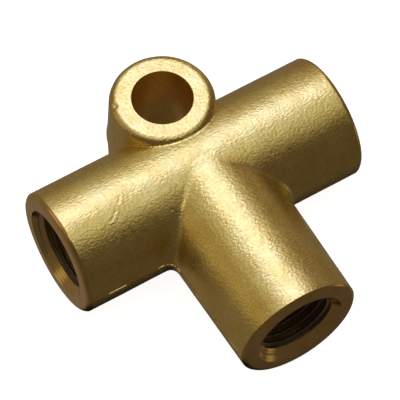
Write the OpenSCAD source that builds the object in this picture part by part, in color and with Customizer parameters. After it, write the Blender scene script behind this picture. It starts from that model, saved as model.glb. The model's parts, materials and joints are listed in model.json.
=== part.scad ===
// Three-way union for small-bore hydraulic pipe, forged and machined from one piece of brass.
// Two tapped ports lie in line (the run), one stands square to them (the branch), and a round
// eye behind the run bolts the union down.
// Origin: on the eye's axis, at the forging's parting plane. +Z runs up through the eye, the
// run lies along X and the branch points to -Y.

/* [Run] */
// Reach of the left port, from the branch's axis to its face
left_reach = 18.75; // [15:0.05:30]
// Reach of the right port, from the branch's axis to its face
right_reach = 18.15; // [15:0.05:30]
// Outside diameter of the run
run_d = 15; // [13:0.1:20]

/* [Branch] */
// Reach of the branch, from the run's axis to its port face
branch_reach = 22.4; // [20:0.1:40]
// Outside diameter of the branch at its port face
branch_d = 14.95; // [13:0.05:20]
// Draft of the branch, in degrees on its side
branch_draft = 1; // [0.25:0.25:3]
// Round on the branch's root, where it rises out of the run
root_round = 0.9; // [0.5:0.1:2]

/* [Eye] */
// Distance from the run's axis to the eye's axis
eye_offset = 7.8; // [7:0.1:14]
// Outside diameter of the eye at the parting plane
eye_d = 12.75; // [11.5:0.05:18]
// Height of the eye, from face to face
eye_height = 15.3; // [6:0.1:20]
// Draft of the eye, in degrees on its side
eye_draft = 2; // [0.5:0.25:4]
// Round on the eye's upper and lower edges
eye_round = 1; // [0.3:0.1:1.5]
// Diameter of the fixing hole
eye_hole_d = 7.1; // [5:0.05:8]
// Chamfer at both mouths of the fixing hole
eye_hole_chamfer = 0.15; // [0.05:0.05:0.5]

/* [Ports] */
// Major diameter of the port thread
thread_d = 10; // [8:0.5:12]
// Pitch of the port thread
thread_pitch = 1; // [0.75:0.05:1.5]
// Depth of each port, from its face to the tip of its flare seat
port_depth = 10.7; // [8:0.1:13]
// How far the countersink spreads beyond the thread, on its radius
countersink_spread = 0.5; // [0.2:0.05:1]
// Included angle of the countersink, in degrees
countersink_angle = 90; // [60:5:120]
// Round on the outer edge of each port face
rim_round = 0.7; // [0.2:0.05:0.9]

/* [Flare seats] */
// Step from the port's bore in to the wall of the pocket round its seat
pocket_step = 0.35; // [0.1:0.05:0.6]
// Width of the pocket's floor, from its wall to the foot of the seat
pocket_floor = 0.7; // [0.3:0.05:1]
// Diameter of the land at the seat's tip
seat_tip_d = 4.4; // [3.7:0.1:4.7]
// Included angle of the seat, in degrees
seat_angle = 84; // [60:2:120]
// Diameter of the drilled ways that join the ports
way_d = 3.4; // [2:0.1:3.6]

/* [Hidden] */
$fn = 96;

brass = [0.80, 0.66, 0.33];

// An internal thread's minor diameter is its major diameter less this many pitches
THREAD_DEPTH = 1.0825;
minor_d = thread_d - THREAD_DEPTH * thread_pitch;
mouth_d = thread_d + 2 * countersink_spread;
mouth_depth = (mouth_d - minor_d) / 2 / tan(countersink_angle / 2);
pocket_d = minor_d - 2 * pocket_step;
seat_d = pocket_d - 2 * pocket_floor;
seat_foot = port_depth + (seat_d - seat_tip_d) / 2 / tan(seat_angle / 2);
branch_root_d = branch_d + 2 * branch_reach * tan(branch_draft);

// How far a cutter runs past the surface that it opens
cut_over = 1;
// Point angle of the drill, and how far short of the run's axis its shoulder stops
drill_point = 118;
drill_stop = way_d / 8;

// Each port's place: its children stand at the port face, with +Z out of the port
module at_right_port() {
    translate([right_reach, -eye_offset, 0]) rotate([0, 90, 0]) children();
}

module at_left_port() {
    translate([-left_reach, -eye_offset, 0]) rotate([0, -90, 0]) children();
}

module at_branch_port() {
    translate([0, -eye_offset - branch_reach, 0]) rotate([90, 0, 0]) children();
}

// A round blank from its foot at 0 up to its face, drafted, with an arc on each edge.
// A foot_round of 0 leaves the foot square.
module blank(foot_d, face_d, length, foot_round, face_round) {
    slope = atan((foot_d - face_d) / 2 / length);
    face = [face_d / 2 - face_round * (1 - sin(slope)) / cos(slope), length - face_round];
    foot = [foot_d / 2 - foot_round * (1 + sin(slope)) / cos(slope), foot_round];
    out = [cos(slope), sin(slope)];
    foot_edge = foot_round > 0 ? [[foot.x, 0], foot, foot + foot_round * out] : [foot];
    face_edge = [face + face_round * out, face, [face.x, length]];
    rotate_extrude() {
        polygon(concat([[0, 0]], foot_edge, face_edge, [[0, length]]));
        translate(face) circle(face_round);
        if (foot_round > 0) translate(foot) circle(foot_round);
    }
}

// The run as forged, from the left face to the right face
module run() {
    length = left_reach + right_reach;
    at_right_port() translate([0, 0, -length])
        blank(run_d, run_d, length, rim_round, rim_round);
}

// The branch as forged, drafted from the run's axis to its face
module branch() {
    at_branch_port() translate([0, 0, -branch_reach])
        blank(branch_root_d, branch_d, branch_reach, root_round, rim_round);
}

// The eye as forged: two like halves, drafted away from the parting plane
module eye() {
    half = eye_height / 2;
    for (side = [0, 1]) mirror([0, 0, side])
        blank(eye_d, eye_d - 2 * half * tan(eye_draft), half, 0, eye_round);
}

// One port's cutter: the countersink, the bore for the tap, and below it the pocket that
// leaves the flare seat standing
module port_cut() {
    over_r = mouth_d / 2 + cut_over * tan(countersink_angle / 2);
    rotate_extrude() polygon([
        [0, cut_over], [over_r, cut_over], [minor_d / 2, -mouth_depth],
        [minor_d / 2, -port_depth], [pocket_d / 2, -port_depth],
        [pocket_d / 2, -seat_foot], [seat_d / 2, -seat_foot],
        [seat_tip_d / 2, -port_depth], [0, -port_depth]
    ]);
}

// The way drilled along the run, from seat to seat
module run_way_cut() {
    start = port_depth - cut_over;
    at_right_port() translate([0, 0, start - left_reach - right_reach])
        cylinder(h = left_reach + right_reach - 2 * start, d = way_d);
}

// The way drilled from the branch's seat until its point breaks into the run's way
module branch_way_cut() {
    shoulder = drill_stop - branch_reach;
    point = way_d / 2 / tan(drill_point / 2);
    at_branch_port() rotate_extrude() polygon([
        [0, cut_over - port_depth], [way_d / 2, cut_over - port_depth],
        [way_d / 2, shoulder], [0, shoulder - point]
    ]);
}

// The fixing hole, chamfered at both mouths
module eye_cut() {
    chamfer_h = eye_hole_chamfer + cut_over;
    cylinder(h = eye_height + 2 * cut_over, d = eye_hole_d, center = true);
    for (side = [0, 1]) mirror([0, 0, side])
        translate([0, 0, eye_height / 2 - eye_hole_chamfer])
            cylinder(h = chamfer_h, r1 = eye_hole_d / 2, r2 = eye_hole_d / 2 + chamfer_h);
}

// The finished body: the forging, less all its machining
module union_body() {
    color(brass) difference() {
        union() {
            run();
            branch();
            eye();
        }
        at_right_port() port_cut();
        at_left_port() port_cut();
        at_branch_port() port_cut();
        run_way_cut();
        branch_way_cut();
        eye_cut();
    }
}

union_body();
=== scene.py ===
import json
import math

import bpy
import numpy as np
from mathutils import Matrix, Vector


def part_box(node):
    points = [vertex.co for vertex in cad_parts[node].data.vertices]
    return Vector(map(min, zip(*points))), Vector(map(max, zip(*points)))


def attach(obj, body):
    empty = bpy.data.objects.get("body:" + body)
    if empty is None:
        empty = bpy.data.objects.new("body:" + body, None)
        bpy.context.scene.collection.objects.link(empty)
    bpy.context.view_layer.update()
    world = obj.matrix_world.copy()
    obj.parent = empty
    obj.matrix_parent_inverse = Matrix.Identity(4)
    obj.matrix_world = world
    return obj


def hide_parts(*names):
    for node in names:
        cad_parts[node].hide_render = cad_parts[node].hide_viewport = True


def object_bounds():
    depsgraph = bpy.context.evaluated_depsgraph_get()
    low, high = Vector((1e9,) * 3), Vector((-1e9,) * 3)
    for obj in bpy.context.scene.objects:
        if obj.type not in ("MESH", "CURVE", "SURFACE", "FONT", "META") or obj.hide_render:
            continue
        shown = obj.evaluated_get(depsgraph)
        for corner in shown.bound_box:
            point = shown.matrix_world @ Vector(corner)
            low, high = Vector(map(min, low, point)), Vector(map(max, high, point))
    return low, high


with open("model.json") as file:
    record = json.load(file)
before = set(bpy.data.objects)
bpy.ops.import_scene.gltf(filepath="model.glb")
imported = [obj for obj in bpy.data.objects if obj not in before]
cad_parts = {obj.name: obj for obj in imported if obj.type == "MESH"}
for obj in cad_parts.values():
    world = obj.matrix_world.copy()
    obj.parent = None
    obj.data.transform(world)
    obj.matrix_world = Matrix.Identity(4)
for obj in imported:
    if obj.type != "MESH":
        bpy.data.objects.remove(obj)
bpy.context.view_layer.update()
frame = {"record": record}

import openvdb
from mathutils import Matrix, Vector, noise

MM = 0.001
low, high = (np.array(corner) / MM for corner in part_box("union_body"))
mounts = {mount["name"]: mount for mount in frame["record"]["mounts"]}

run_y = mounts["right_port"]["pos_m"][1] / MM
run_radius = 7.5
run_end_round = 0.1
branch_reach = run_y - low[1]
root_radius = high[2]
branch_draft = math.radians(1)
# The branch's cavity starts a little ahead of the run's axis, and its end was cut with a round tool
root_start = 0.3
root_round = 1.2
# The branch's crest lies a little lower than the run's
crest_drop = 0.13
# The fillet between run and branch is widest in the inner corners at the parting plane
crest_fillet = 0.25
corner_fillet = 1.45
eye_half = mounts["eye_upper_face"]["pos_m"][2] / MM
eye_radius = high[1]
eye_draft = math.radians(2)
eye_round = 1.0
eye_fillet = 0.16
# What is left at each end for facing, before it is machined
facing_stock = 0.8


def bar(along, across, start, end, radius, rounding):
    """Distance in mm to a round bar with rounded ends."""
    side = across - radius + rounding
    beyond = np.maximum(start - along, along - end) + rounding
    inside = np.minimum(np.maximum(side, beyond), 0)
    outside = np.hypot(np.maximum(side, 0), np.maximum(beyond, 0))
    return inside + outside - rounding


def fillet(a, b, width):
    """Distance to the union of two shapes, with a fillet between them."""
    share = np.clip(0.5 + 0.5 * (b - a) / width, 0, 1)
    return b * (1 - share) + a * share - width * share * (1 - share)


def die_cavity(x, y, z):
    """Distance in mm to the shape that the two dies leave."""
    ahead = run_y - y
    start, end = low[0] - facing_stock, high[0] + facing_stock
    run = bar(x, np.hypot(ahead, z), start, end, run_radius, run_end_round)

    # The branch is drafted along the parting plane, and flattened to stay below the run's crest
    half_width = root_radius - ahead * math.tan(branch_draft)
    half_height = np.minimum(half_width, run_radius - crest_drop)
    across = np.hypot(x, z * half_width / half_height)
    branch = bar(ahead, across, root_start, branch_reach + facing_stock, half_width, root_round)

    eye_wall = eye_radius - np.abs(z) * math.tan(eye_draft)
    eye = bar(np.abs(z), np.hypot(x, y), -eye_half, eye_half, eye_wall, eye_round)

    steepness = np.clip(1 - (z / run_radius) ** 2, 0, 1) ** 2
    corner = crest_fillet + (corner_fillet - crest_fillet) * steepness
    return fillet(fillet(run, branch, corner), eye, eye_fillet)


flash_proud = 0.15
flash_half = 0.13
flash_fillet = 0.08
# The share of the flash that the shear left all along, and how far that share wanders
flash_left = 0.35
flash_wander = 0.12
# It left more in two places: near the left port, and in the left inner corner
spot_left = 0.5
proud_spots = (
    (low[0] + 3.55, run_y - run_radius, 1.7),
    (-8.4, run_y - 8.4, 1.6),
)


def forging(x, y, z):
    """Distance in mm to the forging, with the stump of its flash."""
    uneven = flash_left + flash_wander * np.sin(1.3 * x + 0.7 * y)
    for spot_x, spot_y, width in proud_spots:
        away = (x - spot_x) ** 2 + (y - spot_y) ** 2
        uneven = uneven + spot_left * np.exp(-away / width ** 2)
    outline = die_cavity(x, y, z * 0) - flash_proud * uneven
    flash = np.maximum(outline, np.abs(z) - flash_half)
    return fillet(die_cavity(x, y, z), flash, flash_fillet)


def skin(distance, corner, opposite, spacing):
    """Points and faces of the surface where a distance is 0, from a grid of that spacing."""
    axes = [np.arange(a, b, spacing, dtype=np.float32) for a, b in zip(corner, opposite)]
    values = distance(*np.meshgrid(*axes, indexing="ij", sparse=True))
    grid = openvdb.FloatGrid(1.0)
    grid.copyFromArray(np.ascontiguousarray(values.astype(np.float32)))
    points, faces = grid.convertToQuads(0.0)
    return points.astype(float) * spacing + corner, faces


def outward(distance, points, step=0.02):
    """Unit vectors straight out of the surface at the points."""
    slope = [distance(*(points + d).T) - distance(*(points - d).T) for d in np.eye(3) * step]
    slope = np.stack(slope, axis=1)
    return slope / np.linalg.norm(slope, axis=1, keepdims=True)


grid_spacing = 0.12
margin = facing_stock + 4 * grid_spacing
points, faces = skin(forging, low - margin, high + margin, grid_spacing)
# The grid's faces cut corners a little, so its points are moved on to the surface
for _ in range(2):
    points -= outward(forging, points) * forging(*points.T)[:, None]
normals = outward(forging, points)

# Size and height of the skin's waves, and of the coarsest of its grain
wave_size, wave_height = 2.2, 0.016
grain_size, grain_height = 0.42, 0.005


def bumps(size, seed):
    """A smooth random height at each point, from about -1 to 1, with bumps of that size."""
    shift = Vector((seed, -2 * seed, 3 * seed))
    return np.array([noise.noise(Vector(point) / size + shift) for point in points])


def on_run(x, angle):
    """A place on the run's skin; the angle is counted from the top towards the branch."""
    angle = math.radians(angle)
    return np.array([x, run_y - run_radius * math.sin(angle), run_radius * math.cos(angle)])


def on_eye(angle, radius):
    """A place on the eye's upper edge; the angle is counted from +X towards +Y."""
    angle = math.radians(angle)
    return np.array([radius * math.cos(angle), radius * math.sin(angle), eye_half])


# A scratch's lip: how far out it stands in widths of the groove, and its share of the depth
lip_offset = 1.6
lip_height = 0.8


def scratch(start, end, width, depth):
    """Height of a scratch along the run: a groove, with a lip pushed up on its left side."""
    length = np.linalg.norm(end - start)
    along = (end - start) / length
    right = np.cross(along, (start + end) / 2 - (0, run_y, 0))
    travel = np.clip((points - start) @ along, 0, length)
    off = points - start - travel[:, None] * along
    gap = np.linalg.norm(off, axis=1) / width
    groove = np.exp(-(gap ** 2))
    lip = np.exp(-((gap - lip_offset) ** 2)) * (off @ right < 0)
    return depth * (lip_height * lip - groove)


def dent(centre, width, depth):
    """Height of a small round dent."""
    gap = np.linalg.norm(points - centre, axis=1)
    return -depth * np.exp(-((gap / width) ** 2))


height = wave_height * bumps(wave_size, seed=11) + grain_height * bumps(grain_size, seed=23)
height += scratch(on_run(-10.75, 6.6), on_run(-11.19, 11.3), 0.15, 0.03)
height += scratch(on_run(-12.0, 16.5), on_run(-12.97, 22.5), 0.16, 0.035)
height += dent(on_eye(161, 5.5), 0.35, 0.14)
height += dent(on_run(15.9, 59), 0.16, 0.09)
height += dent(on_run(-6.2, 38), 0.14, 0.05)
points += normals * height[:, None]

union = bpy.data.objects.new("union", bpy.data.meshes.new("union"))
union.data.from_pydata((points * MM).tolist(), [], faces.tolist())
bpy.context.scene.collection.objects.link(union)


def node(tree, kind, inputs, output=0, **settings):
    """Adds a node, sets or links its inputs, and gives one of its outputs."""
    made = tree.nodes.new("ShaderNode" + kind)
    for name, value in settings.items():
        setattr(made, name, value)
    for name, value in inputs.items():
        if isinstance(value, bpy.types.NodeSocket):
            tree.links.new(value, made.inputs[name])
        else:
            made.inputs[name].default_value = value
    return made.outputs[output]


def speckle(tree, size, detail, stretch=(1, 1, 1)):
    """A noise with grains of that size in mm. A stretch makes them longer one way."""
    place = node(tree, "TexCoord", {}, "Object")
    scale = [1 / (MM * size * s) for s in stretch]
    scaled = node(tree, "Mapping", {"Vector": place, "Scale": scale})
    return node(tree, "TexNoise", {"Vector": scaled, "Scale": 1, "Detail": detail}, "Fac")


def ranged(tree, value, from_min, from_max, to_min=0, to_max=1):
    """A value taken from one range to another, and held at its ends."""
    ends = {"From Min": from_min, "From Max": from_max, "To Min": to_min, "To Max": to_max}
    return node(tree, "MapRange", {"Value": value, **ends})


def mixed(tree, factor, a, b, **settings):
    """A colour between two others."""
    colours = {"Factor": factor, "A": a, "B": b}
    return node(tree, "Mix", colours, "Result", data_type="RGBA", **settings)


def relief(tree, height, depth, **below):
    """A surface relief of that depth in mm, from a height between 0 and 1."""
    return node(tree, "Bump", {"Height": height, "Distance": depth * MM, **below})


def brass(name, dark, light, patch_size, roughness):
    """A brass whose tone and polish wander. Gives it, its nodes, its shader's inputs and its tone."""
    finish = bpy.data.materials.new(name)
    finish.use_nodes = True
    tree = finish.node_tree
    shader = tree.nodes["Principled BSDF"]
    shader.inputs["Metallic"].default_value = 1
    patches = ranged(tree, speckle(tree, patch_size, 3), 0.35, 0.65)
    tone = mixed(tree, patches, (*dark, 1), (*light, 1))
    tree.links.new(tone, shader.inputs["Base Color"])
    wear = speckle(tree, patch_size / 3, 2)
    tree.links.new(ranged(tree, wear, 0.3, 0.7, *roughness), shader.inputs["Roughness"])
    return finish, tree, shader.inputs, tone


tones = (0.80, 0.60, 0.19), (0.86, 0.68, 0.26)
forged, tree, shader, tone = brass("forged", *tones, 3.0, (0.24, 0.34))
grain = speckle(tree, 0.22, 1, (1.6, 1, 1))
coarse = relief(tree, speckle(tree, 0.45, 1), 0.012)
tree.links.new(relief(tree, grain, 0.040, Normal=coarse), shader["Normal"])
# The colour follows the grain: a little darker in its hollows and a little lighter on its tops
shade = ranged(tree, grain, 0.35, 0.65, 0.91, 1.07)
tree.links.new(mixed(tree, 1, tone, shade, blend_type="MULTIPLY"), shader["Base Color"])
union.data.materials.append(forged)

# ---- The three ports -----------------------------------------------------------------------
# Each port is faced and its rim turned to a radius in one cut. It is then drilled, with a
# form drill that leaves a cone-shaped flare seat at the bottom, and tapped M10 x 1. A long
# drill joins the ports through their seats.
bore_radius = mounts["right_port"]["dims"]["r_mm"]
pitch = 1.0
major_radius = 5.0
mouth_radius = 5.5
mouth_depth = mouth_radius - bore_radius
seat_depth = mouth_depth + mounts["right_port"]["dims"]["length_mm"]
pocket_radius = bore_radius - 0.35
seat_foot_radius = pocket_radius - 0.7
seat_tip_radius = 2.2
seat_half_angle = math.radians(42)
pocket_depth = seat_depth + (seat_foot_radius - seat_tip_radius) / math.tan(seat_half_angle)
way_radius = 1.7
drill_point = math.radians(118)
rim_radius = 0.85
rim_proud = 0.04
rim_short_of_tangent = math.radians(10)
rim_steps = 10
tapped_depth = seat_depth - pitch
tap_clearance = 0.05
tap_nose_slope = 0.35
thread_half_angle = math.radians(30)
# The tap's crest is a flat, an eighth of the pitch wide
crest_flat = pitch / 8
# Spacing of the rings that the tool leaves
ring_spacing = 0.3
# How far a tool runs past the surface that it opens
cut_over = 2.0


def revolved(outline, sides=160):
    """Points and faces of a solid of revolution, from (radius, height) pairs that end on its axis."""
    points, rows = [], []
    for radius, z in outline:
        count = sides if radius > 0 else 1
        angles = np.arange(count) * 2 * math.pi / sides
        rows.append(len(points) + np.arange(sides) % count)
        points += [(radius * math.cos(a), radius * math.sin(a), z) for a in angles]
    faces = []
    for lower, upper in zip(rows, rows[1:]):
        for i in range(sides):
            j = (i + 1) % sides
            corners = [lower[i], lower[j], upper[j], upper[i]]
            faces.append([int(c) for k, c in enumerate(corners) if c not in corners[:k]])
    return points, faces


def facing_tool():
    """Takes the facing stock off, and turns the rim to its radius."""
    outside = run_radius + rim_proud
    flat = outside - rim_radius * math.cos(rim_short_of_tangent)
    angles = np.linspace(math.pi / 2, rim_short_of_tangent, rim_steps)
    rim = [(flat + rim_radius * math.cos(a), rim_radius * (math.sin(a) - 1)) for a in angles]
    over = outside + cut_over
    return revolved([(0, 0), *rim, (over, rim[-1][1]), (over, cut_over), (0, cut_over)])


def form_drill():
    """Opens the countersink and the bore, and leaves the flare seat."""
    return revolved([
        (0, -seat_depth), (seat_tip_radius, -seat_depth), (seat_foot_radius, -pocket_depth),
        (pocket_radius, -pocket_depth), (pocket_radius, -seat_depth), (bore_radius, -seat_depth),
        (bore_radius, -mouth_depth), (mouth_radius + cut_over, cut_over), (0, cut_over),
    ])


def tap():
    """Cuts the thread: a right-handed ridge on a helix, tapered at its nose."""
    core = bore_radius - tap_clearance
    flank = (major_radius - core) * math.tan(thread_half_angle)
    root = pitch - 2 * flank - crest_flat
    profile = [(0, core), (root, core), (root + flank, major_radius)]
    profile.append((root + flank + crest_flat, major_radius))
    count = len(profile)
    last = count * math.ceil((tapped_depth + cut_over) / pitch)
    sides = 96
    points, row = [], {}
    for i in range(sides):
        angle = 2 * math.pi * i / sides
        for j in range(last + 1 + (count if i == 0 else 0)):
            step, radius = profile[j % count]
            z = pitch * (j // count + i / sides) + step
            radius = min(radius, core - tap_clearance + z * tap_nose_slope)
            row[i, j] = len(points)
            points.append((radius * math.cos(angle), radius * math.sin(angle), z - tapped_depth))
    faces = []
    for j in range(last):
        for i in range(sides - 1):
            faces.append([row[i, j], row[i + 1, j], row[i + 1, j + 1], row[i, j + 1]])
        # The last side joins the first one turn further up
        k = j + count
        faces.append([row[sides - 1, j], row[0, k], row[0, k + 1], row[sides - 1, j + 1]])
    nose = [row[0, j] for j in range(count + 1)] + [row[i, 0] for i in range(sides - 1, 0, -1)]
    shank = [row[i, last] for i in range(sides)] + [row[0, last + j] for j in range(count, 0, -1)]
    for edge, z in ((nose, -tapped_depth - pitch), (shank, points[shank[0]][2] + 2 * pitch)):
        centre = len(points)
        points.append((0, 0, z))
        faces += [[a, b, centre] for a, b in zip(edge, edge[1:] + edge[:1])]
    return points, faces


def way_drill(depth):
    """Drills a way down from the seat's tip to that depth."""
    shoulder = way_radius / math.tan(drill_point / 2) - depth
    start = cut_over - seat_depth
    return revolved([(0, -depth), (way_radius, shoulder), (way_radius, start), (0, start)])


def machine(tool, finish, *places):
    """Takes a tool's shape out of the union at each place, and gives the cut faces that finish."""
    slots = union.data.materials
    if slots.find(finish.name) < 0:
        slots.append(finish)
    points, faces = np.array(tool[0]), tool[1]
    placed = [points @ np.array(p.to_3x3()).T + np.array(p.translation) for p in places]
    joined = [[c + k * len(points) for c in face] for k in range(len(places)) for face in faces]
    mesh = bpy.data.meshes.new("cutter")
    mesh.from_pydata((np.concatenate(placed) * MM).tolist(), [], joined)
    mesh.polygons.foreach_set("material_index", [slots.find(finish.name)] * len(joined))
    for slot in slots:
        mesh.materials.append(slot)
    cutter = bpy.data.objects.new("cutter", mesh)
    bpy.context.scene.collection.objects.link(cutter)
    cut = union.modifiers.new("cut", "BOOLEAN")
    cut.operation = "DIFFERENCE"
    cut.solver = "MANIFOLD"
    cut.object = cutter
    bpy.context.view_layer.update()
    evaluated = union.evaluated_get(bpy.context.evaluated_depsgraph_get())
    finished = bpy.data.meshes.new_from_object(evaluated)
    union.modifiers.clear()
    union.data = finished
    bpy.data.objects.remove(cutter)


def place_of(mount):
    """Puts a tool on a port: the port's face at its 0, and +Z out of the port."""
    axis = Vector(mounts[mount]["axis"])
    reach = max(Vector(low) @ axis, Vector(high) @ axis)
    centre = Vector(mounts[mount]["pos_m"]) / MM
    centre += axis * (reach - centre @ axis)
    return Matrix.Translation(centre) @ axis.to_track_quat("Z", "Y").to_matrix().to_4x4()


def from_axis(tree, *across):
    """Distance in mm from a port's axis, measured only along the directions across it."""
    place = node(tree, "TexCoord", {}, "Object")
    centred = node(tree, "VectorMath", {0: place, 1: (0, run_y * MM, 0)}, operation="SUBTRACT")
    scale = [k / MM for k in across]
    flat = node(tree, "VectorMath", {0: centred, 1: scale}, operation="MULTIPLY")
    return node(tree, "VectorMath", {0: flat}, "Value", operation="LENGTH")


# The tool leaves fine rings round the axis of each port
tones = (0.74, 0.50, 0.19), (0.82, 0.58, 0.24)
turned, tree, shader, _ = brass("turned", *tones, 2.0, (0.15, 0.22))
y = node(tree, "SeparateXYZ", {"Vector": node(tree, "TexCoord", {}, "Object")}, "Y")
branch_end = (run_y - branch_reach + seat_depth) * MM
on_branch = node(tree, "Math", {0: y, 1: branch_end}, operation="LESS_THAN")
radii = {"Factor": on_branch, "A": from_axis(tree, 0, 1, 1), "B": from_axis(tree, 1, 0, 1)}
radius = node(tree, "Mix", radii, "Result")
turns = node(tree, "Math", {0: radius, 1: 2 * math.pi / ring_spacing}, operation="MULTIPLY")
rings = node(tree, "Math", {0: turns}, operation="SINE")
tree.links.new(relief(tree, rings, 0.003), shader["Normal"])

# The threads are a paler, greyer brass: painted light that lifts the deep bores, where the lamps
# hardly reach
tones = (0.54, 0.46, 0.34), (0.64, 0.54, 0.40)
painted_light_threads, *_ = brass("painted_light_threads", *tones, 1.2, (0.34, 0.44))

ports = [place_of(name) for name in ("right_port", "left_port", "branch_port")]
machine(facing_tool(), turned, *ports)
machine(form_drill(), turned, *ports)
machine(tap(), painted_light_threads, *ports)
machine(way_drill(high[0] - low[0] - seat_depth + cut_over), turned, ports[0])
machine(way_drill(branch_reach + way_radius / 2), turned, ports[2])

# ---- The fixing eye ------------------------------------------------------------------------
# The eye takes the bolt that holds the union down. Its hole is drilled right through the
# forging, the drill leaves faint streaks down the wall, and both mouths are barely broken.
hole_radius = mounts["fixing_eye"]["dims"]["r_mm"]
hole_chamfer = 0.06


def cross_drill():
    """Drills the fixing hole and breaks both of its mouths."""
    over = hole_radius + hole_chamfer + cut_over
    return revolved([
        (0, -eye_half - cut_over), (over, -eye_half - cut_over),
        (hole_radius, hole_chamfer - eye_half), (hole_radius, eye_half - hole_chamfer),
        (over, eye_half + cut_over), (0, eye_half + cut_over),
    ])


tones = (0.85, 0.57, 0.17), (0.93, 0.65, 0.22)
bored, tree, shader, _ = brass("bored", *tones, 1.5, (0.26, 0.36))
streaks = speckle(tree, 0.35, 2, (1, 1, 14))
tree.links.new(relief(tree, streaks, 0.02), shader["Normal"])
machine(cross_drill(), bored, Matrix.Identity(4))

union.data.shade_smooth()
union.data.set_sharp_from_angle(angle=math.radians(30))
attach(union, "root")
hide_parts("union_body")

# ---- The studio ----------------------------------------------------------------------------
# The union lies on a sheet of white paper. The main light is a window behind it and above,
# with a broad ceiling round it, and small soft lamps at the front and the sides lift its
# flanks. The room is dim and warm, brighter behind, and darkest straight down.
paper = bpy.data.materials.new("paper")
paper.use_nodes = True
sheet = paper.node_tree.nodes["Principled BSDF"].inputs
sheet["Base Color"].default_value = (0.9, 0.9, 0.9, 1)
sheet["Roughness"].default_value = 0.9
sheet["Emission Color"].default_value = (1, 1, 1, 1)
sheet["Emission Strength"].default_value = 0.92

floor_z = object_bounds()[0].z
reach = 1.0
sides = ((-1, -1), (1, -1), (1, 1), (-1, 1))
corners = [(reach * x, reach * y, floor_z) for x, y in sides]
floor = bpy.data.objects.new("floor", bpy.data.meshes.new("floor"))
floor.data.from_pydata(corners, [], [(0, 1, 2, 3)])
floor.data.materials.append(paper)
floor.visible_glossy = False
bpy.context.scene.collection.objects.link(floor)


def direction(azimuth, elevation):
    """A unit vector; azimuth is counted from +X towards +Y, both in degrees."""
    a, e = math.radians(azimuth), math.radians(elevation)
    return Vector((math.cos(a) * math.cos(e), math.sin(a) * math.cos(e), math.sin(e)))


lamp_distance = 0.6


def softbox(name, azimuth, elevation, half_angle, radiance, tint):
    """A round soft lamp, as wide as that angle seen from the union, and as bright."""
    radius = lamp_distance * math.tan(math.radians(half_angle))
    lamp = bpy.data.lights.new(name, "AREA")
    lamp.shape = "DISK"
    lamp.size = 2 * radius
    lamp.energy = radiance * (math.pi * radius) ** 2
    lamp.color = tint
    stand = bpy.data.objects.new(name, lamp)
    stand.location = direction(azimuth, elevation) * lamp_distance
    aim = Vector((0, run_y * MM, 0))
    stand.rotation_euler = (stand.location - aim).to_track_quat("Z", "Y").to_euler()
    bpy.context.scene.collection.objects.link(stand)


softbox("window", 74, 64, 19.5, 1.00, (1.08, 1.28, 2.45))
softbox("ceiling", 80, 70, 40, 0.34, (1.00, 1.02, 0.80))
softbox("front_high", -60, 78, 12, 0.42, (0.85, 1.10, 1.70))
softbox("front_low", -56, 60, 16, 0.29, (1.00, 0.95, 0.60))
softbox("back", 80, 22, 16, 0.16, (1.00, 0.95, 0.60))
softbox("left_crease", 205, 67, 8, 1.20, (1.00, 1.00, 0.80))
softbox("left", 148, 22, 16, 0.28, (1.00, 0.86, 0.35))
softbox("left_high", 175, 45, 14, 0.18, (1.00, 0.65, 0.28))
softbox("right", 40, 8, 14, 0.28, (1.00, 0.70, 0.10))
softbox("right_high", 10, 55, 12, 0.12, (1.00, 0.60, 0.10))

room = bpy.data.worlds.new("room")
room.use_nodes = True
tree = room.node_tree
away = node(tree, "TexCoord", {}, "Generated")
front_wall = (0.092, 0.071, 0.050, 1)
back_wall = (0.200, 0.158, 0.115, 1)
behind = ranged(tree, node(tree, "SeparateXYZ", {"Vector": away}, "Y"), -0.3, 0.4)
walls = mixed(tree, behind, front_wall, back_wall)
# A bright patch low on the right glints in the branch port's countersink
patch_colour = (0.38, 0.30, 0.15, 1)
patch = {0: away, 1: direction(-25, -16)}
near_patch = node(tree, "VectorMath", patch, "Value", operation="DOT_PRODUCT")
lit = mixed(tree, ranged(tree, near_patch, 0.965, 0.995), walls, patch_colour)
# Straight down, only this share of the room's light is left
share_below = 0.08
upward = node(tree, "SeparateXYZ", {"Vector": away}, "Z")
background = tree.nodes["Background"].inputs
tree.links.new(lit, background["Color"])
tree.links.new(ranged(tree, upward, -0.96, -0.89, share_below), background["Strength"])
bpy.context.scene.world = room
bpy.context.scene.view_settings.view_transform = "Standard"

camera_azimuth = -123.241
camera_elevation = 59.445
camera_roll = math.radians(2.239)
camera_distance = 0.36518
back = direction(camera_azimuth, camera_elevation)
aside = direction(camera_azimuth + 90, 0)
above = back.cross(aside)
right = aside * math.cos(camera_roll) + above * math.sin(camera_roll)
up = above * math.cos(camera_roll) - aside * math.sin(camera_roll)
aim = Vector((-0.884, run_y - 2.214, 0)) * MM
facing = Matrix((right, up, back)).transposed().to_4x4()
camera = bpy.data.objects.new("camera", bpy.data.cameras.new("camera"))
camera.data.lens = 286.1
camera.data.clip_start = 0.01
camera.matrix_world = Matrix.Translation(aim + back * camera_distance) @ facing
bpy.context.scene.collection.objects.link(camera)
bpy.context.scene.camera = camera
